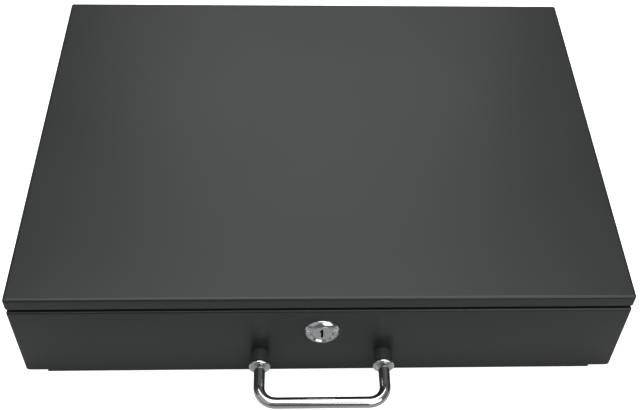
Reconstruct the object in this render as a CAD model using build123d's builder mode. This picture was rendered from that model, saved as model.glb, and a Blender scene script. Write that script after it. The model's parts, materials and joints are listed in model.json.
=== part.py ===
"""Manual steel cash drawer: a folded case, a full-width drawer on ball-bearing slides,
a key lock that hooks behind a strike, a bent-rod pull handle and a removable till.

Frame: +Z up, -Y towards the user, +X to the user's right. The origin is the centre of the
bounding box's footprint, on the surface that the rubber feet stand on. Millimetres.
"""

import os

from build123d import *

os.makedirs("parts", exist_ok=True)

# ---------------------------------------------------------------- driving dimensions
# Case
case_w = 430.0            # width over the folded cover
case_d = 322.0            # depth, front lip to rear face
case_h = 87.5             # height without the feet
sheet = 1.2               # case and front-panel sheet
bend_r = 2.2              # outer bend radius of the cover
lip_h = 10.0              # front lip of the cover
front_gap = 4.2           # gap between the lip and the drawer front
side_cut = 11.5           # the cover's sides start this far behind the front plane
flange = 24.0             # inward bottom flange of the cover
rear_flange = 14.0        # rear flange of the cover
# Feet
foot_h = 4.0
foot_r = 9.0
foot_x, foot_y0, foot_y1 = 202.0, 28.0, 297.0
# Drawer
front_drop = 0.7          # the panel hangs this far below the case
front_h = case_h - lip_h - front_gap + front_drop   # height of the front panel
front_ret = 10.0          # depth of the panel's folded returns
front_bend = 1.6          # outer bend radius of the panel
notch_w, notch_h = 15.6, 3.4           # relief at the panel's bottom corners
corner_r = 3.0            # rounding of the panel's bottom corners
pan_sheet = 1.0
pan_x = 201.1             # half the outer width of the pan
pan_z0, pan_z1 = 13.0, 75.0
pan_y1 = 311.25           # rear of the pan, behind the front plane
# Slides
travel = 260.0            # full opening
slide_l = 270.0
slide_y = 14.0            # start of the slides behind the front plane
slide_z = 44.0
slide_t = 12.7            # gap that a slide fills
# Handle
post_x = 44.45            # half the handle's hole spacing
handle_z = 21.3           # above the case bottom
post_r, post_l = 6.8, 9.4
rod_r = 4.0
rod_reach = 40.6          # front plane to the grip's centreline
rod_bend = 12.0
ferrule_r = 7.85
ferrule_l = 2.9
# Lock
lock_z = 49.4             # above the case bottom
lock_r = 12.7
barrel_r = 9.4
plug_r, plug_bore = 7.4, 7.46
# Till
till_x = 198.5
till_y0, till_y1 = 27.0, 309.0
till_z0, till_z1 = 14.3, 72.3
till_wall, till_floor, divider = 2.2, 2.0, 2.0
bill_depth = 168.0
clip_rod_r, clip_bore = 1.75, 1.83
clip_back, clip_z = 10.0, 66.0   # pivot: forward of the till's rear wall, height

screw_head = 1.6
# ---------------------------------------------------------------- derived places
Z0 = foot_h                                   # underside of the case
ZT = Z0 + case_h                              # top of the case
reach = rod_reach + rod_r
YF = (reach - case_d - screw_head) / 2        # front plane
YB = YF + case_d                              # rear face
XW = case_w / 2
XI = XW - sheet                               # inner face of the cover's side
ymid = (YF + YB) / 2
LZ = Z0 + lock_z
ZP = Z0 - front_drop                          # underside of the front panel
HZ = Z0 + handle_z


def front_plane(y):
    """Sketch plane facing the user: local x is +X, local y is +Z, extrudes towards -Y."""
    return Plane(origin=(0, y, 0), x_dir=(1, 0, 0), z_dir=(0, -1, 0))


def side_plane(x=0.0):
    """Sketch plane seen from the right: local x is +Y, local y is +Z, extrudes towards +X."""
    return Plane(origin=(x, 0, 0), x_dir=(0, 1, 0), z_dir=(1, 0, 0))


def footprint(x0, x1, y0, y1, z):
    """Rectangle between two corners, lying at height z."""
    with BuildSketch(Plane.XY.offset(z)) as flat:
        with Locations(((x0 + x1) / 2, (y0 + y1) / 2)):
            Rectangle(x1 - x0, y1 - y0)
    return flat.sketch


def save(part, name):
    part.label = name
    export_step(part, f"parts/{name}.step")


# ================================================================= CASE
# The cover is one folded sheet: top, two sides, a front lip, and flanges at the bottom and rear.
with BuildPart() as cover_inside:
    extrude(footprint(-XI, XI, YF + sheet, YB - sheet, Z0 + sheet),
            amount=case_h - 2 * sheet)
    fillet(cover_inside.edges(), radius=bend_r - sheet)

with BuildPart() as case_cover:
    extrude(footprint(-XW, XW, YF, YB, Z0),
            amount=case_h)
    fillet(case_cover.edges(), radius=bend_r)
    add(cover_inside.part, mode=Mode.SUBTRACT)
    # room for the drawer front: everything ahead of the sides, below the lip
    extrude(footprint(-XW - 1, XW + 1, YF - 1, YF + side_cut, Z0 - 1),
            amount=ZT - lip_h - Z0 + 1, mode=Mode.SUBTRACT)
    # bottom opening, closed by the base
    extrude(footprint(-XW + flange, XW - flange, YF - 1, YB - 20, Z0 - 1),
            amount=sheet + 1.1, mode=Mode.SUBTRACT)
    # rear opening, closed by the base's back wall
    with BuildSketch(front_plane(YB + 1)):
        with Locations((0, (Z0 + ZT) / 2)):
            RectangleRounded(case_w - 2 * rear_flange, case_h - 2 * rear_flange, 3)
    extrude(amount=3, mode=Mode.SUBTRACT)
    # screw holes: feet, base screws (bottom flange) and back screws (rear flange)
    with BuildSketch(Plane.XY.offset(Z0 - 1)):
        with Locations(*[(sx * foot_x, YF + y) for sx in (-1, 1) for y in (foot_y0, foot_y1)]):
            Circle(2.05)
        with Locations(*[(sx * 203, YF + y) for sx in (-1, 1) for y in (100, 222)]):
            Circle(1.5)
    extrude(amount=sheet + 1.5, mode=Mode.SUBTRACT)
    with BuildSketch(front_plane(YB + 1)):
        with Locations((-120, ZT - 7.5), (120, ZT - 7.5), (-207.5, Z0 + 25), (207.5, Z0 + 25),
                       (-207.5, Z0 + 62), (207.5, Z0 + 62)):
            Circle(1.5)
    extrude(amount=3, mode=Mode.SUBTRACT)
save(case_cover.part, "case_cover")

# The base is a folded sheet too: front sill, floor and back wall, screwed inside the cover.
base_z = Z0 + sheet + 0.05 + sheet / 2
base_yb = YB - sheet - 0.05 - sheet / 2
with BuildPart() as case_base:
    with BuildSketch(side_plane()):
        with BuildLine():
            FilletPolyline((YF + 15, base_z + 6.5), (YF + 15, base_z), (base_yb, base_z),
                           (base_yb, ZT - 2.6), radius=1.7)
        trace(line_width=sheet)
    extrude(amount=XI - 1.4, both=True)
    with BuildSketch(Plane.XY.offset(Z0)):
        with Locations(*[(sx * foot_x, YF + y) for sx in (-1, 1) for y in (foot_y0, foot_y1)]):
            Circle(2.05)
        with Locations(*[(sx * 203, YF + y) for sx in (-1, 1) for y in (100, 222)]):
            Circle(1.5)
    extrude(amount=4, mode=Mode.SUBTRACT)
    with BuildSketch(front_plane(YB)):
        with Locations((-120, ZT - 7.5), (120, ZT - 7.5), (-207.5, Z0 + 25), (207.5, Z0 + 25),
                       (-207.5, Z0 + 62), (207.5, Z0 + 62)):
            Circle(1.5)
        with Locations((-150, 44), (150, 44)):
            Circle(2.6)
    extrude(amount=4, mode=Mode.SUBTRACT)
save(case_base.part, "case_base")

# Screws: pan heads with a cross recess
def pan_screw(name, places, plane_of, head_r, head_t, shank_r, length):
    """Identical screws in one node. plane_of(place) gives each head's seat, z towards the head."""
    with BuildPart() as screws:
        for place in places:
            seat = plane_of(place)
            with BuildSketch(seat):
                Circle(head_r)
            extrude(amount=head_t)
            with BuildSketch(seat):
                Circle(shank_r)
            extrude(amount=-length)
            top = seat.offset(head_t)
            with BuildSketch(top):
                Rectangle(head_r * 1.15, head_r * 0.26)
                Rectangle(head_r * 0.26, head_r * 1.15)
            extrude(amount=-head_t * 0.55, mode=Mode.SUBTRACT)
        rims = screws.edges().filter_by(GeomType.CIRCLE).filter_by(
            lambda e: abs(e.radius - head_r) < 1e-4 and any(
                abs((e.arc_center - plane_of(p).offset(head_t).origin).length) < 1e-3 for p in places))
        fillet(rims, radius=min(0.45 * head_t, 0.7))
    save(screws.part, name)
    return screws


def below(z):
    return lambda p: Plane(origin=(p[0], p[1], z), x_dir=(1, 0, 0), z_dir=(0, 0, -1))


def behind(y):
    return lambda p: Plane(origin=(p[0], y, p[1]), x_dir=(1, 0, 0), z_dir=(0, 1, 0))


pan_screw("base_screws", [(sx * 203, YF + y) for sx in (-1, 1) for y in (100, 222)],
          below(Z0), 3.0, 1.6, 1.45, 5.0)
pan_screw("back_screws", [(-120, ZT - 7.5), (120, ZT - 7.5), (-207.5, Z0 + 25), (207.5, Z0 + 25),
                          (-207.5, Z0 + 62), (207.5, Z0 + 62)],
          behind(YB), 3.0, screw_head, 1.45, 6.0)

# Rubber feet, each with a recess for its screw, and a nut on the floor of the case
foot_places = {"front_left": (-foot_x, YF + foot_y0), "front_right": (foot_x, YF + foot_y0),
               "rear_left": (-foot_x, YF + foot_y1), "rear_right": (foot_x, YF + foot_y1)}
for key, (fx, fy) in foot_places.items():
    with BuildPart() as foot:
        with BuildSketch(Plane(origin=(fx, fy, 0), x_dir=(1, 0, 0), z_dir=(0, -1, 0))):
            with BuildLine():
                Polyline((2.1, foot_h), (foot_r, foot_h), (foot_r - 0.4, 0), (4.6, 0), (4.4, 2.3),
                         (2.1, 2.3), close=True)
            make_face()
        revolve(axis=Axis((fx, fy, 0), (0, 0, 1)), revolution_arc=360)
        outer = foot.edges().filter_by(GeomType.CIRCLE).filter_by(
            lambda e: abs(e.radius - (foot_r - 0.4)) < 1e-3)
        fillet(outer, radius=0.9)
    save(foot.part, f"foot_{key}")

pan_screw("foot_screws", list(foot_places.values()), below(2.3), 3.6, 1.7, 1.95, 8.0)

with BuildPart() as foot_nuts:
    for fx, fy in foot_places.values():
        with BuildSketch(Plane.XY.offset(Z0 + 2 * sheet + 0.1)):
            with Locations((fx, fy)):
                RegularPolygon(7.0 / 2, 6, major_radius=False)
                Circle(2.0, mode=Mode.SUBTRACT)
        extrude(amount=3.0)
save(foot_nuts.part, "foot_nuts")

# Strike: an angle welded under the cover's top, which the lock's cam hooks behind
with BuildPart() as lock_strike:
    with BuildSketch(side_plane()):
        with BuildLine():
            FilletPolyline((YF + 5, ZT - sheet - 0.8), (YF + 15.0, ZT - sheet - 0.8),
                           (YF + 15.0, ZT - lip_h - 0.9), radius=1.8)
        trace(line_width=1.5)
    extrude(amount=16, both=True)
    corners = lock_strike.edges().filter_by(Axis.Y).group_by(Axis.Z)[0]
    fillet(corners, radius=0.7)
save(lock_strike.part, "lock_strike")

# Rubber bumpers on the back wall, pushed in from the front
bump_wall = YB - sheet - 0.05 - sheet        # inner face of the back wall
bump_l = bump_wall - (YF + pan_y1) - 0.4
with BuildPart() as rear_bumpers:
    for bx in (-150, 150):
        with BuildSketch(Plane(origin=(bx, 0, 44), x_dir=(0, 1, 0), z_dir=(1, 0, 0))):
            with BuildLine():
                Polyline((bump_wall - bump_l, 0), (bump_wall - bump_l, 4.0), (bump_wall - bump_l + 1.2, 5.4),
                         (bump_wall - 0.02, 6.0), (bump_wall - 0.02, 2.5), (bump_wall + sheet + 0.05, 2.5),
                         (bump_wall + sheet + 0.05, 3.8), (bump_wall + sheet + 1.0, 3.0),
                         (bump_wall + sheet + 1.0, 0), close=True)
            make_face()
        revolve(axis=Axis((bx, 0, 44), (0, 1, 0)), revolution_arc=360)
save(rear_bumpers.part, "rear_bumpers")


# ================================================================= SLIDES
# Three-member ball slides. u runs from the case side inward, v up from the slide's centre.
def place_u(side, u):
    return side * (XI - u)


def channel(side, u_web0, u_web1, u_tip, v_in, v_out, length, y0, curl=0.0):
    """C section with its web at u_web0..u_web1 and flanges v_in..v_out reaching to u_tip."""
    with BuildPart() as member:
        with BuildSketch(front_plane(y0 + length)):
            lo, hi = sorted((place_u(side, u_web0), place_u(side, u_web1)))
            with Locations(((lo + hi) / 2, slide_z)):
                Rectangle(hi - lo, 2 * v_out)
            a, b = sorted((place_u(side, min(u_web0, u_tip)), place_u(side, max(u_web1, u_tip))))
            for s in (-1, 1):
                with Locations(((a + b) / 2, slide_z + s * (v_in + v_out) / 2)):
                    Rectangle(b - a, v_out - v_in)
                if curl:
                    c, d = sorted((place_u(side, u_tip), place_u(side, u_tip - 0.8)))
                    with Locations(((c + d) / 2, slide_z + s * (v_in - curl / 2))):
                        Rectangle(d - c, curl)
        extrude(amount=length)
        outside = member.edges().filter_by(Axis.Y).filter_by(
            lambda e: abs(abs(e.center().Z - slide_z) - v_out) < 1e-3
            and abs(XI - abs(e.center().X) - u_web0) < 1e-3)
        fillet(outside, radius=0.8)
    return member


def cage(side, u_web, u_tip, v, y0, length, ball_u, ball_ys, ball_r):
    """Thin retainer strip with a row of pockets along its top and bottom flanges."""
    with BuildPart() as strip:
        with BuildSketch(front_plane(y0 + length)):
            lo, hi = sorted((place_u(side, u_web), place_u(side, u_web + 0.5)))
            with Locations(((lo + hi) / 2, slide_z)):
                Rectangle(hi - lo, 2 * (v + 0.25))
            a, b = sorted((place_u(side, u_web), place_u(side, u_tip)))
            for s in (-1, 1):
                with Locations(((a + b) / 2, slide_z + s * v)):
                    Rectangle(b - a, 0.5)
        extrude(amount=length)
        with BuildSketch(Plane.XY.offset(slide_z - v - 1)):
            with Locations(*[(place_u(side, ball_u), y) for y in ball_ys]):
                Circle(ball_r + 0.08)
        extrude(amount=2 * v + 2, mode=Mode.SUBTRACT)
        # lightening slots in the web
        with BuildSketch(side_plane(place_u(side, u_web) - side * 2)):
            with Locations(*[(y, slide_z) for y in (y0 + length * 0.25, y0 + length * 0.75)]):
                RectangleRounded(length * 0.3, v * 0.9, v * 0.4)
        extrude(amount=side * 4, mode=Mode.SUBTRACT)
    return strip


def balls(side, ball_u, v, ball_ys, ball_r):
    with BuildPart() as row:
        with Locations(*[(place_u(side, ball_u), y, slide_z + s * v) for y in ball_ys for s in (-1, 1)]):
            Sphere(ball_r)
    return row


sy0 = YF + slide_y
cage_a, cage_l = 69.0, 132.0
ball_ys = [sy0 + cage_a + 8 + i * (cage_l - 16) / 7 for i in range(8)]
for side, tag in ((-1, "left"), (1, "right")):
    member = channel(side, 0.0, 1.2, 10.6, 16.8, 18.0, slide_l, sy0, curl=1.0)
    save(member.part, f"slide_case_member_{tag}")
    member = channel(side, 2.7, 3.9, 10.0, 12.4, 13.6, slide_l, sy0)
    save(member.part, f"slide_middle_member_{tag}")
    plain = channel(side, slide_t, slide_t - 1.2, 5.4, 8.0, 9.2, slide_l, sy0)
    with BuildPart() as drawer_member:
        add(plain.part)
        with BuildSketch(side_plane(place_u(side, slide_t + 1))):
            with Locations(*[(YF + y, slide_z) for y in (34, 149, 264)]):
                Circle(1.65)
        extrude(amount=side * 4, mode=Mode.SUBTRACT)
    save(drawer_member.part, f"slide_drawer_member_{tag}")
    strip = cage(side, 1.7, 9.0, 15.2, sy0 + cage_a, cage_l, 6.0, ball_ys, 1.5)
    save(strip.part, f"slide_outer_cage_{tag}")
    strip = cage(side, 4.4, 9.6, 10.8, sy0 + cage_a, cage_l, 7.2, ball_ys, 1.5)
    save(strip.part, f"slide_inner_cage_{tag}")
    row = balls(side, 6.0, 15.2, ball_ys, 1.5)
    save(row.part, f"slide_outer_balls_{tag}")
    row = balls(side, 7.2, 10.8, ball_ys, 1.5)
    save(row.part, f"slide_inner_balls_{tag}")

# Rivets that hold the drawer members to the pan: low head inside the pan, bulb in the channel
with BuildPart() as slide_rivets:
    for side in (-1, 1):
        for y in (34, 149, 264):
            x_in = side * (pan_x - pan_sheet)          # inner face of the pan's side
            with BuildSketch(side_plane(x_in)):
                with Locations((YF + y, slide_z)):
                    Circle(3.2)
            extrude(amount=-side * 0.9)
            with BuildSketch(side_plane(x_in)):
                with Locations((YF + y, slide_z)):
                    Circle(1.6)
            extrude(amount=side * 2.2)
            with BuildSketch(side_plane(x_in + side * 2.22)):
                with Locations((YF + y, slide_z)):
                    Circle(2.5)
            extrude(amount=side * 2.0)
            with BuildSketch(side_plane(x_in)):
                with Locations((YF + y, slide_z)):
                    Circle(1.2)
            extrude(amount=side * 3.0)
save(slide_rivets.part, "slide_rivets")


# ================================================================= DRAWER
# Front panel: a shallow folded pan with relief notches at its bottom corners.
with BuildPart() as front_inside:
    extrude(footprint(-XI, XI, YF + sheet, YF + 30, ZP + sheet),
            amount=front_h - 2 * sheet)
    fillet(front_inside.edges(), radius=front_bend - sheet + 0.1)

with BuildPart() as drawer_front:
    extrude(footprint(-XW, XW, YF, YF + front_ret, ZP),
            amount=front_h)
    fillet(drawer_front.edges().group_by(Axis.Y)[0] + drawer_front.edges().filter_by(Axis.Y), radius=front_bend)
    add(front_inside.part, mode=Mode.SUBTRACT)
    for s in (-1, 1):
        zc = ZP + notch_h
        bow = corner_r * (1 - 0.5 ** 0.5)
        with BuildSketch(front_plane(YF + front_ret + 1)):
            with BuildLine():
                Polyline((s * (XW - notch_w), ZP - 1), (s * (XW - notch_w), zc), (s * (XW - corner_r), zc))
                ThreePointArc((s * (XW - corner_r), zc), (s * (XW - bow), zc + bow), (s * XW, zc + corner_r))
                Polyline((s * XW, zc + corner_r), (s * (XW + 1), zc + corner_r), (s * (XW + 1), ZP - 1),
                         (s * (XW - notch_w), ZP - 1))
            make_face()
        extrude(amount=front_ret + 2, mode=Mode.SUBTRACT)
    # lock hole with two flats, and the handle's screw holes
    with BuildSketch(front_plane(YF + 3)):
        with Locations((0, LZ)):
            Circle(barrel_r + 0.1)
            Rectangle(2 * 8.0 + 0.2, 30, mode=Mode.INTERSECT)
        with Locations((-post_x, HZ), (post_x, HZ)):
            Circle(2.05)
    extrude(amount=4, mode=Mode.SUBTRACT)
save(drawer_front.part, "drawer_front")

# Pan: floor and four walls, corners welded
pan_y0 = sheet + 0.05
with BuildPart() as pan_inside:
    extrude(footprint(-pan_x + pan_sheet, pan_x - pan_sheet, YF + pan_y0 + pan_sheet, YF + pan_y1 - pan_sheet, pan_z0 + pan_sheet),
            amount=pan_z1 - pan_z0 + 9)
    fillet(pan_inside.edges().filter_by(Axis.Z) + pan_inside.edges().group_by(Axis.Z)[0], radius=0.8)

with BuildPart() as drawer_pan:
    extrude(footprint(-pan_x, pan_x, YF + pan_y0, YF + pan_y1, pan_z0),
            amount=pan_z1 - pan_z0)
    fillet(drawer_pan.edges().filter_by(Axis.Z) + drawer_pan.edges().group_by(Axis.Z)[0], radius=1.8)
    add(pan_inside.part, mode=Mode.SUBTRACT)
    with BuildSketch(front_plane(YF + 3)):
        with Locations((0, LZ)):
            Circle(barrel_r + 0.1)
            Rectangle(2 * 8.0 + 0.2, 30, mode=Mode.INTERSECT)
        with Locations((-post_x, HZ), (post_x, HZ)):
            Circle(2.05)
    extrude(amount=4, mode=Mode.SUBTRACT)
    with BuildSketch(side_plane(-pan_x - 1)):
        with Locations(*[(YF + y, slide_z) for y in (34, 149, 264)]):
            Circle(1.65)
    extrude(amount=2 * pan_x + 2, mode=Mode.SUBTRACT)
save(drawer_pan.part, "drawer_pan")

# Partition that keeps the till clear of the lock
with BuildPart() as drawer_partition:
    with BuildSketch(side_plane()):
        with BuildLine():
            FilletPolyline((YF + 15, pan_z0 + pan_sheet + 0.55), (YF + 25.5, pan_z0 + pan_sheet + 0.55),
                           (YF + 25.5, 66), (YF + 22.5, 66), radius=1.2)
        trace(line_width=1.0)
    extrude(amount=pan_x - pan_sheet - 0.6, both=True)
save(drawer_partition.part, "drawer_partition")

# ---- handle: chrome rod bent to a U, on domed ferrules and painted posts
rod_y0 = YF - post_l                       # the rod's ends sit on the posts
with BuildPart() as handle_rod:
    with BuildLine() as rod_path:
        FilletPolyline((-post_x, rod_y0, HZ), (-post_x, YF - rod_reach, HZ),
                       (post_x, YF - rod_reach, HZ), (post_x, rod_y0, HZ), radius=rod_bend)
    with BuildSketch(Plane(origin=(-post_x, rod_y0, HZ), x_dir=(1, 0, 0), z_dir=(0, -1, 0))):
        Circle(rod_r)
    sweep()
    with BuildSketch(front_plane(rod_y0)):
        with Locations((-post_x, HZ), (post_x, HZ)):
            Circle(2.0)
    extrude(amount=9, mode=Mode.SUBTRACT)
save(handle_rod.part, "handle_rod")

for side, tag in ((-1, "left"), (1, "right")):
    hx = side * post_x
    with BuildPart() as post:
        with BuildSketch(front_plane(YF)):
            with Locations((hx, HZ)):
                Circle(post_r)
                Circle(2.1, mode=Mode.SUBTRACT)
        extrude(amount=post_l)
        chamfer(post.edges().filter_by(GeomType.CIRCLE).group_by(Axis.Y)[0].sort_by(SortBy.RADIUS)[-1], length=0.3)
    save(post.part, f"handle_post_{tag}")
    with BuildPart() as ferrule:
        with BuildSketch(Plane(origin=(hx, rod_y0, HZ), x_dir=(1, 0, 0), z_dir=(0, 0, 1))):
            with BuildLine():
                l1 = Line((rod_r + 0.05, 0), (ferrule_r - 0.7, 0))
                l2 = ThreePointArc(l1 @ 1, (ferrule_r, 0.05 - ferrule_l / 2), (ferrule_r - 0.9, 0.1 - ferrule_l))
                l3 = ThreePointArc(l2 @ 1, (ferrule_r - 1.4, -ferrule_l), (ferrule_r - 1.9, 0.3 - ferrule_l))
                l4 = Line(l3 @ 1, (rod_r + 0.35, 1.1 - ferrule_l))
                l5 = Line(l4 @ 1, (rod_r + 0.05, 1.1 - ferrule_l))
                l6 = Line(l5 @ 1, l1 @ 0)
            make_face()
        revolve(axis=Axis((hx, rod_y0, HZ), (0, 1, 0)), revolution_arc=360)
    save(ferrule.part, f"handle_ferrule_{tag}")

pan_front_in = YF + pan_y0 + pan_sheet     # inner face of the pan's front wall
pan_screw("handle_screws", [(-post_x, HZ), (post_x, HZ)],
          lambda p: Plane(origin=(p[0], pan_front_in, p[1]), x_dir=(1, 0, 0), z_dir=(0, 1, 0)),
          3.8, 2.2, 1.95, pan_front_in - YF + post_l + 8)

# ---- lock: dished bezel and barrel, nut, turning plug, cam, washer and screw
barrel_y1 = 17.0
with BuildPart() as lock_housing:
    with BuildSketch(Plane(origin=(0, YF, LZ), x_dir=(1, 0, 0), z_dir=(0, 0, 1))):
        with BuildLine():
            a1 = Line((barrel_r, 0), (lock_r, 0))
            a2 = Line(a1 @ 1, (lock_r, -0.5))
            a3 = ThreePointArc(a2 @ 1, (lock_r - 1.3, -2.2), (9.6, -3.3))
            a4 = ThreePointArc(a3 @ 1, (9.0, -3.55), (8.45, -3.3))
            a5 = Line(a4 @ 1, (plug_bore, -2.3))
            a6 = Line(a5 @ 1, (plug_bore, barrel_y1))
            a7 = Line(a6 @ 1, (barrel_r, barrel_y1))
            a8 = Line(a7 @ 1, a1 @ 0)
        make_face()
    revolve(axis=Axis((0, YF, LZ), (0, 1, 0)), revolution_arc=360)
    # flats on the barrel
    for s in (-1, 1):
        with BuildSketch(front_plane(YF + barrel_y1 + 1)):
            with Locations((s * (8.0 + 5), LZ)):
                Rectangle(10, 30)
        extrude(amount=barrel_y1 + 1, mode=Mode.SUBTRACT)
save(lock_housing.part, "lock_housing")

with BuildPart() as lock_nut:
    with BuildSketch(front_plane(pan_front_in + 0.02 + 3.0)):
        with Locations((0, LZ)):
            RegularPolygon(23.0 / 2, 6, major_radius=False)
            Circle(barrel_r + 0.05, mode=Mode.SUBTRACT)
    extrude(amount=3.0)
    fillet(lock_nut.edges().filter_by(Axis.Y), radius=0.6)
save(lock_nut.part, "lock_nut")

cam_y0, cam_t = 17.8, 2.0
with BuildPart() as lock_plug:
    with BuildSketch(front_plane(YF + 17.3)):
        with Locations((0, LZ)):
            Circle(plug_r)
    extrude(amount=17.3 + 2.2)
    fillet(lock_plug.edges().sort_by(Axis.Y)[0], radius=0.3)
    with BuildSketch(front_plane(YF + cam_y0 + cam_t + 0.1)):
        with Locations((0, LZ)):
            RectangleRounded(7.0, 7.0, 0.8)
    extrude(amount=cam_y0 + cam_t + 0.1 - 17.3)
    # keyway with a wider ward near the top, and the cam screw's hole
    with BuildSketch(front_plane(YF + 12)):
        with Locations((0, LZ)):
            RectangleRounded(1.6, 9.6, 0.5)
        with Locations((-0.45, LZ + 2.2)):
            RectangleRounded(2.3, 2.4, 0.5)
    extrude(amount=16, mode=Mode.SUBTRACT)
    with BuildSketch(front_plane(YF + cam_y0 + cam_t + 1)):
        with Locations((0, LZ)):
            Circle(1.65)
    extrude(amount=8, mode=Mode.SUBTRACT)
save(lock_plug.part, "lock_plug")

with BuildPart() as lock_cam:
    with BuildSketch(front_plane(YF + cam_y0 + cam_t)):
        with Locations((0, LZ)):
            Circle(8.5)
        with Locations((-13, LZ)):
            Rectangle(26, 13)
        with Locations((-26.5, LZ)):
            RectangleRounded(12, 13, 3)
        with Locations((0, LZ)):
            RectangleRounded(7.1, 7.1, 0.75, mode=Mode.SUBTRACT)
    extrude(amount=cam_t)
save(lock_cam.part, "lock_cam")

with BuildPart() as cam_washer:
    with BuildSketch(front_plane(YF + cam_y0 + cam_t + 0.1 + 0.8)):
        with Locations((0, LZ)):
            Circle(5.6)
            Circle(1.75, mode=Mode.SUBTRACT)
    extrude(amount=0.8)
save(cam_washer.part, "cam_washer")

pan_screw("cam_screw", [(0, LZ)],
          lambda p: Plane(origin=(p[0], YF + cam_y0 + cam_t + 0.9, p[1]), x_dir=(1, 0, 0), z_dir=(0, 1, 0)),
          3.4, 1.9, 1.6, 6.0)


# ================================================================= TILL
bay_n = 5
inner_x = till_x - till_wall
bay_w = (2 * inner_x - (bay_n - 1) * divider) / bay_n
bay_x = [-inner_x + bay_w / 2 + i * (bay_w + divider) for i in range(bay_n)]
rear_in = till_y1 - till_wall                 # inner face of the rear wall
cross_y = rear_in - bill_depth                # rear face of the wall between bills and coins
piv_y = YF + rear_in - clip_back
floor_z = till_z0 + till_floor

with BuildPart() as till_tray:
    extrude(footprint(-till_x, till_x, YF + till_y0, YF + till_y1, till_z0),
            amount=till_z1 - till_z0)
    fillet(till_tray.edges().filter_by(Axis.Z), radius=4.0)
    fillet(till_tray.edges().group_by(Axis.Z)[0], radius=1.5)
    # bill bays
    with BuildSketch(Plane.XY.offset(floor_z)):
        with Locations(*[(x, YF + (cross_y + rear_in) / 2) for x in bay_x]):
            RectangleRounded(bay_w, bill_depth, 2.0)
    extrude(amount=80, mode=Mode.SUBTRACT)
    # coin bay
    with BuildSketch(Plane.XY.offset(floor_z)):
        with Locations((0, YF + (till_y0 + till_wall + cross_y - divider) / 2)):
            RectangleRounded(2 * inner_x, cross_y - divider - till_y0 - till_wall, 2.0)
    extrude(amount=80, mode=Mode.SUBTRACT)
    # dividers dip in the middle, the side walls have a grip notch
    with BuildSketch(side_plane(-inner_x + 0.5)):
        with BuildLine():
            Polyline((YF + 152, 90), (YF + 152, till_z1), (YF + 164, 52), (YF + 262, 52), (YF + 274, till_z1),
                     (YF + 274, 90), close=True)
        make_face()
    extrude(amount=2 * inner_x - 1, mode=Mode.SUBTRACT)
    with BuildSketch(side_plane(-till_x - 1)):
        with Locations((YF + 213, till_z1 + 10)):
            RectangleRounded(44, 20 + 2 * 14, 8)
    extrude(amount=2 * till_x + 2, mode=Mode.SUBTRACT)
    # holes for the clip rod
    with BuildSketch(side_plane(-till_x - 1)):
        with Locations((piv_y, clip_z)):
            Circle(1.85)
    extrude(amount=2 * till_x + 2, mode=Mode.SUBTRACT)
save(till_tray.part, "till_tray")

coin_y0, coin_y1 = till_y0 + till_wall + 0.6, cross_y - divider - 0.6
coin_x = inner_x - 0.4
coin_z0, coin_z1 = floor_z + 0.3, 62.0
coin_wall = 1.8
well_w = (2 * coin_x - (bay_n + 1) * coin_wall) / bay_n
well_x = [-coin_x + coin_wall + well_w / 2 + i * (well_w + coin_wall) for i in range(bay_n)]
with BuildPart() as coin_tray:
    extrude(footprint(-coin_x, coin_x, YF + coin_y0, YF + coin_y1, coin_z0),
            amount=coin_z1 - coin_z0)
    fillet(coin_tray.edges().filter_by(Axis.Z), radius=2.0)
    for x in well_x:
        with BuildSketch(side_plane(x)):
            with BuildLine():
                FilletPolyline((YF + coin_y0 + coin_wall, coin_z1 + 5), (YF + coin_y0 + coin_wall, coin_z0 + 2),
                               (YF + coin_y1 - coin_wall, coin_z0 + 2), (YF + coin_y1 - coin_wall, coin_z1 + 5),
                               radius=30)
                Line((YF + coin_y1 - coin_wall, coin_z1 + 5), (YF + coin_y0 + coin_wall, coin_z1 + 5))
            make_face()
        extrude(amount=well_w / 2, both=True, mode=Mode.SUBTRACT)
save(coin_tray.part, "coin_tray")

with BuildPart() as clip_rod:
    with BuildSketch(side_plane(-till_x + 0.3)):
        with Locations((piv_y, clip_z)):
            Circle(clip_rod_r)
    extrude(amount=2 * till_x - 0.6)
save(clip_rod.part, "clip_rod")

for i, x in enumerate(bay_x):
    with BuildPart() as clip:
        with BuildSketch(side_plane(x)):
            with BuildLine():
                FilletPolyline((piv_y - 1, clip_z - 1.2), (piv_y - 16, clip_z - 2.2),
                               (piv_y - 82, floor_z + 1.15), (piv_y - 99, floor_z + 1.15),
                               (piv_y - 108, floor_z + 7.5), radius=5)
            trace(line_width=1.6)
        extrude(amount=6.5, both=True)
        with BuildSketch(side_plane(x)):
            with Locations((piv_y, clip_z)):
                Circle(4.2)
        extrude(amount=7.5, both=True)
        with BuildSketch(side_plane(x)):
            with Locations((piv_y, clip_z)):
                Circle(clip_bore)
        extrude(amount=9, both=True, mode=Mode.SUBTRACT)
    save(clip.part, f"bill_clip_{i + 1}")

with BuildPart() as clip_springs:
    for x in bay_x:
        with BuildSketch(side_plane(x + 8.2)):
            with Locations((piv_y, clip_z)):
                Circle(3.3)
                Circle(2.1, mode=Mode.SUBTRACT)
        extrude(amount=6)
save(clip_springs.part, "clip_springs")

print("front plane y", YF, "rear", YB, "top", ZT, "bay width", bay_w, "lock z", LZ, "handle z", HZ)
print("clip pivot", piv_y, clip_z, "travel", travel, "bays", [round(v, 2) for v in bay_x])
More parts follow.
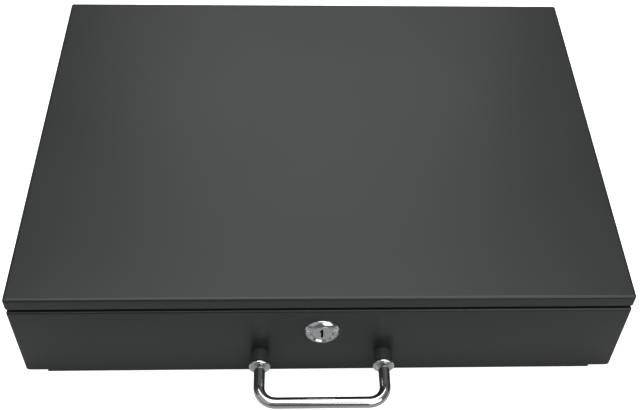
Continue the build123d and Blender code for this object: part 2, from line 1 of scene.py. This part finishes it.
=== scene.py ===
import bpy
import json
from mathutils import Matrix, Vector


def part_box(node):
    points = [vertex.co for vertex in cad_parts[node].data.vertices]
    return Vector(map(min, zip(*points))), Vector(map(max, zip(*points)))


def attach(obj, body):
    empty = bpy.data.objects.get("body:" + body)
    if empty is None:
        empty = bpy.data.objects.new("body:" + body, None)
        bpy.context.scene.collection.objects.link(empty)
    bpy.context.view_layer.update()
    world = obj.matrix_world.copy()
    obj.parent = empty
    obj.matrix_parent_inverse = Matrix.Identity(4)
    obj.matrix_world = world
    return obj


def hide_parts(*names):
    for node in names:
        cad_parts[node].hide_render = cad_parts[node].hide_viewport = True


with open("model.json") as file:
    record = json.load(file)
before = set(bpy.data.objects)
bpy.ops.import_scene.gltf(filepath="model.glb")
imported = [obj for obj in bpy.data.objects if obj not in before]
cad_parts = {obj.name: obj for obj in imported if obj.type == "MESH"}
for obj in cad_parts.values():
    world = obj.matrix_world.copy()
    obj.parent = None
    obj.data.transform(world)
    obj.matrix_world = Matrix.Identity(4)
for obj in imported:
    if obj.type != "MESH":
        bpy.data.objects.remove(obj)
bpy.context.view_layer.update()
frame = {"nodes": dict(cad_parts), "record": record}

import json
import math

import bpy
from mathutils import Matrix, Vector

scene = bpy.context.scene
MM = 0.001


# ------------------------------------------------------------------ node helpers
class Nodes:
    """A small builder for one material's node tree."""

    def __init__(self, name):
        self.mat = bpy.data.materials.new(name)
        self.mat.use_nodes = True
        self.t = self.mat.node_tree
        self.t.nodes.clear()
        self.out = self.t.nodes.new("ShaderNodeOutputMaterial")
        self.bsdf = self.t.nodes.new("ShaderNodeBsdfPrincipled")
        self.t.links.new(self.bsdf.outputs[0], self.out.inputs[0])
        self.coord = self.t.nodes.new("ShaderNodeTexCoord").outputs["Object"]

    def new(self, kind, **values):
        n = self.t.nodes.new(kind)
        for k, v in values.items():
            setattr(n, k, v)
        return n

    def link(self, a, b):
        self.t.links.new(a, b)

    def scaled(self, scale=(1, 1, 1), rotation=(0, 0, 0)):
        m = self.new("ShaderNodeMapping")
        m.inputs["Scale"].default_value = scale
        m.inputs["Rotation"].default_value = rotation
        self.link(self.coord, m.inputs[0])
        return m.outputs[0]

    def noise(self, scale, detail=3.0, rough=0.5, vec=None, distortion=0.0):
        n = self.new("ShaderNodeTexNoise")
        n.inputs["Scale"].default_value = scale
        n.inputs["Detail"].default_value = detail
        n.inputs["Roughness"].default_value = rough
        n.inputs["Distortion"].default_value = distortion
        self.link(vec if vec is not None else self.coord, n.inputs["Vector"])
        return n.outputs["Fac"]

    def voronoi(self, scale, vec=None, feature="F1"):
        n = self.new("ShaderNodeTexVoronoi", feature=feature)
        n.inputs["Scale"].default_value = scale
        self.link(vec if vec is not None else self.coord, n.inputs["Vector"])
        return n.outputs["Distance"]

    def ramp(self, fac, stops):
        n = self.new("ShaderNodeValToRGB")
        el = n.color_ramp.elements
        while len(el) < len(stops):
            el.new(0.5)
        for e, (pos, col) in zip(el, stops):
            e.position = pos
            e.color = (*col, 1) if len(col) == 3 else col
        self.link(fac, n.inputs[0])
        return n.outputs[0]

    def span(self, fac, lo, hi, a, b):
        """Maps fac from lo..hi to a..b, clamped."""
        n = self.new("ShaderNodeMapRange")
        n.inputs["From Min"].default_value = lo
        n.inputs["From Max"].default_value = hi
        n.inputs["To Min"].default_value = a
        n.inputs["To Max"].default_value = b
        self.link(fac, n.inputs[0])
        return n.outputs[0]

    def math(self, op, a, b=None):
        n = self.new("ShaderNodeMath", operation=op)
        for i, v in enumerate((a, b)):
            if v is None:
                continue
            if isinstance(v, (int, float)):
                n.inputs[i].default_value = v
            else:
                self.link(v, n.inputs[i])
        return n.outputs[0]

    def mix(self, fac, a, b):
        n = self.new("ShaderNodeMix", data_type="RGBA")
        for sock, v in ((n.inputs[0], fac), (n.inputs[6], a), (n.inputs[7], b)):
            if isinstance(v, (int, float)):
                sock.default_value = v
            elif isinstance(v, tuple):
                sock.default_value = (*v, 1)
            else:
                self.link(v, sock)
        return n.outputs[2]

    def outside_edge_mask(self, radius, lo, hi):
        """0 on flats, towards 1 on outside edges, from the bevelled normal."""
        b = self.new("ShaderNodeBevel", samples=4)
        b.inputs["Radius"].default_value = radius
        g = self.new("ShaderNodeNewGeometry")
        d = self.new("ShaderNodeVectorMath", operation="DOT_PRODUCT")
        self.link(b.outputs[0], d.inputs[0])
        self.link(g.outputs["Normal"], d.inputs[1])
        return self.span(d.outputs["Value"], lo, hi, 1.0, 0.0)

    def crevice(self, distance, dark):
        """Painted shade mask: dark in tight gaps, rising to 1 on open faces."""
        n = self.new("ShaderNodeAmbientOcclusion", samples=8, only_local=False)
        n.inputs["Distance"].default_value = distance
        return self.span(n.outputs["AO"], 0.10, 0.55, dark, 1.0)

    def bump(self, height, strength, distance):
        n = self.new("ShaderNodeBump")
        n.inputs["Strength"].default_value = strength
        n.inputs["Distance"].default_value = distance
        self.link(height, n.inputs["Height"])
        self.last_bump = n
        return n.outputs[0]

    def set(self, **values):
        for k, v in values.items():
            s = self.bsdf.inputs[k.replace("_", " ")]
            if isinstance(v, (int, float)):
                s.default_value = v
            elif isinstance(v, tuple):
                s.default_value = (*v, 1) if len(v) == 3 and s.type == "RGBA" else v
            else:
                self.link(v, s)
        return self


def srgb(r, g, b):
    return tuple(((c / 255 + 0.055) / 1.055) ** 2.4 if c > 10 else c / 255 / 12.92 for c in (r, g, b))


# ------------------------------------------------------------------ materials
def powder_coat(name, base, spread=0.06, grain=1.0, gap_shade_factor=0.12):
    """Satin powder coat: fine orange peel, faint mottling, a few dust specks."""
    n = Nodes(name)
    n.mat.diffuse_color = (*base, 1)
    cloud = n.noise(9.0, 3, 0.55)
    fine = n.noise(900.0, 2, 0.5)
    peel = n.noise(420.0, 3, 0.55)
    specks = n.voronoi(260.0)
    dark = tuple(c * (1 - spread) for c in base)
    light = tuple(c * (1 + spread) for c in base)
    col = n.ramp(cloud, [(0.35, dark), (0.65, light)])
    dust = n.span(specks, 0.035, 0.055, 0.25, 0.0)
    col = n.mix(dust, col, tuple(min(1, c * 1.9 + 0.02) for c in base))
    # handling polishes the outside folds (lower roughness); their lighter colour is a painted highlight, and the
    # darker colour and weaker specular in the gaps are painted shade
    bend_highlight_and_polish = n.outside_edge_mask(0.0016, 0.86, 0.995)
    open_face = n.crevice(0.006, gap_shade_factor)
    # painted highlight: the outside folds are lightened slightly
    col = n.mix(n.math("MULTIPLY", bend_highlight_and_polish, 0.10), col, tuple(c * 2.2 for c in base))
    # painted shade: colour darkened in tight gaps and recesses
    col = n.mix(open_face, tuple(c * gap_shade_factor for c in base), col)
    rough = n.math("ADD", n.span(cloud, 0.3, 0.7, 0.33, 0.38), n.span(fine, 0.3, 0.7, -0.03, 0.03))
    rough = n.math("ADD", rough, n.math("MULTIPLY", bend_highlight_and_polish, -0.10))
    n.set(Base_Color=col, Roughness=rough, Metallic=0.0, IOR=1.5)
    # painted shade: specular weakened in tight gaps
    n.set(Specular_IOR_Level=n.math("MULTIPLY", open_face, 0.5))
    height = n.math("ADD", n.math("MULTIPLY", peel, 1.0), n.math("MULTIPLY", fine, 0.35))
    n.set(Normal=n.bump(height, 0.10 * grain, 0.00012))
    return n.mat


def polished_chrome(name, rough=0.05):
    """Chrome plate: near-mirror, with hairline polishing marks and faint smears."""
    n = Nodes(name)
    smear = n.noise(70.0, 4, 0.6)
    marks = n.noise(1400.0, 2, 0.6, n.scaled((1, 0.08, 1)))
    col = n.ramp(smear, [(0.3, (0.60, 0.61, 0.62)), (0.7, (0.66, 0.67, 0.675))])
    r = n.math("ADD", n.span(smear, 0.35, 0.75, rough, rough + 0.05), n.span(marks, 0.4, 0.8, 0.0, 0.03))
    n.set(Base_Color=col, Metallic=1.0, Roughness=r)
    n.set(Normal=n.bump(marks, 0.03, 0.00004))
    return n.mat


def zinc(name, base=(0.46, 0.47, 0.48), rough=0.34, direction=(1, 0.04, 1)):
    """Zinc-plated steel: rolled grain along the strip, cloudy plating, small dark marks."""
    n = Nodes(name)
    cloud = n.noise(55.0, 4, 0.6)
    grain = n.noise(900.0, 3, 0.6, n.scaled(direction))
    spots = n.voronoi(180.0)
    col = n.ramp(cloud, [(0.3, tuple(c * 0.82 for c in base)), (0.7, tuple(c * 1.1 for c in base))])
    col = n.mix(n.span(spots, 0.05, 0.10, 0.5, 0.0), col, tuple(c * 0.45 for c in base))
    r = n.math("ADD", n.span(cloud, 0.3, 0.7, rough - 0.06, rough + 0.08), n.span(grain, 0.3, 0.7, -0.05, 0.05))
    n.set(Base_Color=col, Metallic=1.0, Roughness=r)
    n.set(Normal=n.bump(grain, 0.08, 0.00008))
    return n.mat


def rubber(name):
    n = Nodes(name)
    cloud = n.noise(60.0, 4, 0.6)
    pits = n.noise(1300.0, 2, 0.6)
    col = n.ramp(cloud, [(0.3, (0.012, 0.012, 0.0125)), (0.75, (0.026, 0.026, 0.027))])
    n.set(Base_Color=col, Roughness=n.span(pits, 0.3, 0.7, 0.66, 0.86))
    n.set(Normal=n.bump(pits, 0.25, 0.0001))
    return n.mat


def moulded(name, dark, light, rough, texture=1.0):
    """Moulded plastic with a spark-eroded texture and scuffs."""
    n = Nodes(name)
    cloud = n.noise(24.0, 4, 0.6)
    spark = n.noise(1600.0, 3, 0.65)
    scuff = n.noise(240.0, 4, 0.7, n.scaled((1, 0.12, 1), (0, 0, 0.5)))
    col = n.ramp(cloud, [(0.3, dark), (0.75, light)])
    worn = n.span(scuff, 0.66, 0.76, 0.0, 0.35)
    col = n.mix(worn, col, tuple(min(1, c * 2.4 + 0.01) for c in light))
    r = n.math("ADD", n.span(spark, 0.3, 0.7, rough - 0.07, rough + 0.07), n.math("MULTIPLY", worn, -0.2))
    n.set(Base_Color=col, Roughness=r)
    n.set(Normal=n.bump(spark, 0.22 * texture, 0.00008))
    return n.mat


def bright_steel(name, direction=(0.05, 1, 1)):
    n = Nodes(name)
    grain = n.noise(1100.0, 3, 0.6, n.scaled(direction))
    cloud = n.noise(120.0, 3, 0.6)
    col = n.ramp(cloud, [(0.3, (0.46, 0.465, 0.475)), (0.7, (0.56, 0.565, 0.57))])
    n.set(Base_Color=col, Metallic=1.0, Roughness=n.span(grain, 0.3, 0.7, 0.18, 0.27))
    n.set(Normal=n.bump(grain, 0.03, 0.00003))
    return n.mat


paint = powder_coat("case_powder_coat", srgb(34, 36, 36))
paint_front = powder_coat("front_powder_coat", srgb(29, 31, 31))
# painted light: the posts share the body's charcoal paint; this lighter copy brightens them, with weaker gap shade
paint_post_lit_copy = powder_coat("post_powder_coat_lit_copy", srgb(50, 51, 51), gap_shade_factor=0.6)
paint_pan = powder_coat("pan_powder_coat", srgb(34, 35, 36), 0.08)
chrome = polished_chrome("handle_chrome_plate", 0.06)
chrome_lock = polished_chrome("lock_chrome_plate", 0.09)
zinc_part = zinc("lock_zinc_plate", (0.45, 0.45, 0.44), 0.36, (1, 1, 0.05))
zinc_screw = zinc("fastener_zinc_plate", (0.42, 0.43, 0.44), 0.33, (1, 1, 1))
zinc_slide = zinc("slide_zinc_plate", (0.48, 0.50, 0.52), 0.32, (1, 0.03, 1))
rubber_m = rubber("rubber_moulding")
till_m = moulded("till_moulding", (0.013, 0.013, 0.014), (0.022, 0.022, 0.024), 0.52)
cage_m = moulded("cage_moulding", (0.50, 0.49, 0.45), (0.58, 0.57, 0.53), 0.45, 0.5)
ball_m = polished_chrome("ball_steel", 0.08)
clip_m = bright_steel("clip_spring_steel", (1, 0.06, 1))
rod_m = bright_steel("rod_steel", (0.05, 1, 1))

BY_SLOT = {
    "case_paint": paint, "front_paint": paint_front, "pan_paint": paint_pan,
    "handle_chrome": chrome, "lock_chrome": chrome_lock, "lock_zinc": zinc_part,
    "rubber": rubber_m, "fastener_zinc": zinc_screw, "cage_plastic": cage_m,
    "ball_steel": ball_m, "slide_zinc": zinc_slide, "till_plastic": till_m, "clip_steel": clip_m,
}
for sub in frame["record"]["subparts"]:
    node = frame["nodes"][sub["node"]]
    mat = BY_SLOT[sub["material_slot"]]
    if sub["node"] == "clip_rod":
        mat = rod_m
    # painted light: the posts take the lighter copy of the body paint
    elif sub["node"].startswith("handle_post"):
        mat = paint_post_lit_copy
    node.data.materials.clear()
    node.data.materials.append(mat)


# ------------------------------------------------------------------ pieces
def mesh_piece(name, verts, faces, mat, body, smooth=True):
    me = bpy.data.meshes.new(name)
    me.from_pydata(verts, [], faces)
    me.update()
    for p in me.polygons:
        p.use_smooth = smooth
    me.materials.append(mat)
    o = bpy.data.objects.new(name, me)
    scene.collection.objects.link(o)
    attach(o, body)
    return o


# Wound torsion springs in place of the plain sleeves beside each clip
def coil(name, centre, r_mid, wire, turns, length, per=28, ring=8):
    """A closed-end helix along X."""
    pts = []
    n = int(turns * per)
    for i in range(n + 1):
        a = 2 * math.pi * i / per
        x = -length / 2 + wire / 2 + (length - wire) * i / n
        pts.append(Vector((x, r_mid * math.cos(a), r_mid * math.sin(a))) + centre)
    verts, faces = [], []
    for i, p in enumerate(pts):
        t = (pts[min(i + 1, n)] - pts[max(i - 1, 0)]).normalized()
        radial = (p - centre)
        radial.x = 0
        u = radial.normalized()
        v = t.cross(u).normalized()
        for k in range(ring):
            b = 2 * math.pi * k / ring
            verts.append(p + (u * math.cos(b) + v * math.sin(b)) * wire / 2)
    for i in range(n):
        for k in range(ring):
            k2 = (k + 1) % ring
            faces.append((i * ring + k, (i + 1) * ring + k, (i + 1) * ring + k2, i * ring + k2))
    faces.append(tuple(reversed(range(ring))))
    faces.append(tuple(n * ring + k for k in range(ring)))
    return verts, faces


lo_s, hi_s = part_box("clip_springs")
spring_mid = (lo_s + hi_s) / 2
first = True
for i in range(5):
    lo_c, hi_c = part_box(f"bill_clip_{i + 1}")
    cx = (lo_c.x + hi_c.x) / 2
    centre = Vector((cx + 0.0112, spring_mid.y, spring_mid.z))
    verts, faces = coil(f"clip_spring_{i + 1}", centre, 0.0027, 0.0010, 5.2, 0.006)
    o = mesh_piece(f"clip_spring_{i + 1}", verts, faces, clip_m, "drawer")
    if first:
        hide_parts("clip_springs")
        first = False

# ------------------------------------------------------------------ stage
def plane(name, size, centre, mat):
    me = bpy.data.meshes.new(name)
    s = size / 2
    me.from_pydata([(-s, -s, 0), (s, -s, 0), (s, s, 0), (-s, s, 0)], [], [(0, 1, 2, 3)])
    me.materials.append(mat)
    o = bpy.data.objects.new(name, me)
    o.location = centre
    scene.collection.objects.link(o)
    return o


floor_n = Nodes("floor_white")
floor_n.set(Base_Color=(0.86, 0.86, 0.86), Roughness=0.9, Specular_IOR_Level=0.1,
            Emission_Color=(1.0, 1.0, 1.0), Emission_Strength=0.88)
# the sweep is overexposed to the eye; to the object the floor shows a painted contact shadow at the footprint, a
# painted brighter pool around it, and grey further out
bounce = floor_n.new("ShaderNodeBsdfDiffuse")
xyz = floor_n.new("ShaderNodeSeparateXYZ")
floor_n.link(floor_n.coord, xyz.inputs[0])
off_x = floor_n.math("SUBTRACT", floor_n.math("ABSOLUTE", xyz.outputs["X"]), 0.215)
off_y = floor_n.math("SUBTRACT", floor_n.math("ABSOLUTE", floor_n.math("SUBTRACT", xyz.outputs["Y"], 0.0215)), 0.161)
off = floor_n.math("MAXIMUM", off_x, off_y)
# painted contact shadow under the footprint and painted brighter pool around it, seen only by rays from the object
shade = floor_n.ramp(floor_n.span(off, -0.01, 0.30, 0.0, 1.0),
                     [(0.030, (0.12, 0.12, 0.12)), (0.045, (0.50, 0.50, 0.50)), (0.10, (0.64, 0.64, 0.635)), (0.28, (0.40, 0.40, 0.40)), (1.0, (0.20, 0.20, 0.20))])
floor_n.link(shade, bounce.inputs["Color"])
seen = floor_n.new("ShaderNodeLightPath")
either = floor_n.new("ShaderNodeMixShader")
floor_n.link(seen.outputs["Is Camera Ray"], either.inputs[0])
floor_n.link(bounce.outputs[0], either.inputs[1])
floor_n.link(floor_n.bsdf.outputs[0], either.inputs[2])
floor_n.link(either.outputs[0], floor_n.out.inputs[0])
plane("floor", 12.0, (0, 0, 0), floor_n.mat)

world = bpy.data.worlds.new("studio")
scene.world = world
world.use_nodes = True
wt = world.node_tree
wc = wt.nodes.new("ShaderNodeTexCoord")
wx = wt.nodes.new("ShaderNodeSeparateXYZ")
wr = wt.nodes.new("ShaderNodeValToRGB")
wt.links.new(wc.outputs["Generated"], wx.inputs[0])
wt.links.new(wx.outputs["Z"], wr.inputs[0])
wt.links.new(wr.outputs[0], wt.nodes["Background"].inputs[0])
ramp = wr.color_ramp.elements
ramp[0].position, ramp[0].color = 0.0, (0.10, 0.10, 0.10, 1)
ramp[1].position, ramp[1].color = 0.95, (0.32, 0.33, 0.34, 1)
mid = ramp.new(0.45)
mid.color = (0.16, 0.16, 0.165, 1)
wt.nodes["Background"].inputs[1].default_value = 1.0
# behind the sweep the eye sees the same plain white; the object is lit by the grey ramp
backdrop = wt.nodes.new("ShaderNodeBackground")
backdrop.inputs[0].default_value = (1, 1, 1, 1)
backdrop.inputs[1].default_value = 1.6
w_seen = wt.nodes.new("ShaderNodeLightPath")
w_mix = wt.nodes.new("ShaderNodeMixShader")
wt.links.new(w_seen.outputs["Is Camera Ray"], w_mix.inputs[0])
wt.links.new(wt.nodes["Background"].outputs[0], w_mix.inputs[1])
wt.links.new(backdrop.outputs[0], w_mix.inputs[2])
wt.links.new(w_mix.outputs[0], wt.nodes["World Output"].inputs[0])


def area(name, loc, target, size, energy, size_y=None, color=(1, 1, 1)):
    d = bpy.data.lights.new(name, "AREA")
    d.energy = energy
    d.color = color
    d.size = size
    if size_y:
        d.shape = "RECTANGLE"
        d.size_y = size_y
    o = bpy.data.objects.new(name, d)
    o.location = loc
    o.rotation_mode = "QUATERNION"
    o.rotation_quaternion = (Vector(target) - Vector(loc)).to_track_quat("-Z", "Y")
    scene.collection.objects.link(o)
    return o


area("top_soft", (0.0, -0.10, 1.7), (0, -0.10, 0), 1.5, 22, 1.8)
area("back_soft", (0.03, 1.55, 1.55), (0, 0.0, 0.05), 1.1, 5.0, 0.9)
area("front_right_fill", (0.85, -1.40, 1.05), (0, -0.1, 0.05), 1.6, 13, 1.4)
area("front_left_fill", (-1.35, -0.95, 0.80), (0, -0.15, 0.03), 1.9, 2.6, 1.5)

# ------------------------------------------------------------------ camera
cam = bpy.data.cameras.new("camera")
cam.sensor_width = 36.0
cam.lens = 56.235
cam.shift_x, cam.shift_y = -0.02242, -0.01550
cam.clip_start, cam.clip_end = 0.05, 50
cam_obj = bpy.data.objects.new("camera", cam)
scene.collection.objects.link(cam_obj)
scene.camera = cam_obj
pitch, yaw, roll = (math.radians(v) for v in (48.0909, 3.4125, 2.4123))
F = Vector((math.sin(yaw) * math.cos(pitch), math.cos(yaw) * math.cos(pitch), -math.sin(pitch)))
Rt = Vector((math.cos(yaw), -math.sin(yaw), 0))
U = Rt.cross(F)
R2 = math.cos(roll) * Rt + math.sin(roll) * U
U2 = -math.sin(roll) * Rt + math.cos(roll) * U
place = Vector((-0.019163, -0.537194, 0.640594))
cam_obj.matrix_world = Matrix(((R2.x, U2.x, -F.x, place.x), (R2.y, U2.y, -F.y, place.y),
                               (R2.z, U2.z, -F.z, place.z), (0, 0, 0, 1)))

scene.view_settings.view_transform = "Standard"
scene.view_settings.look = "None"
scene.view_settings.exposure = 0.0
scene.view_settings.gamma = 1.0
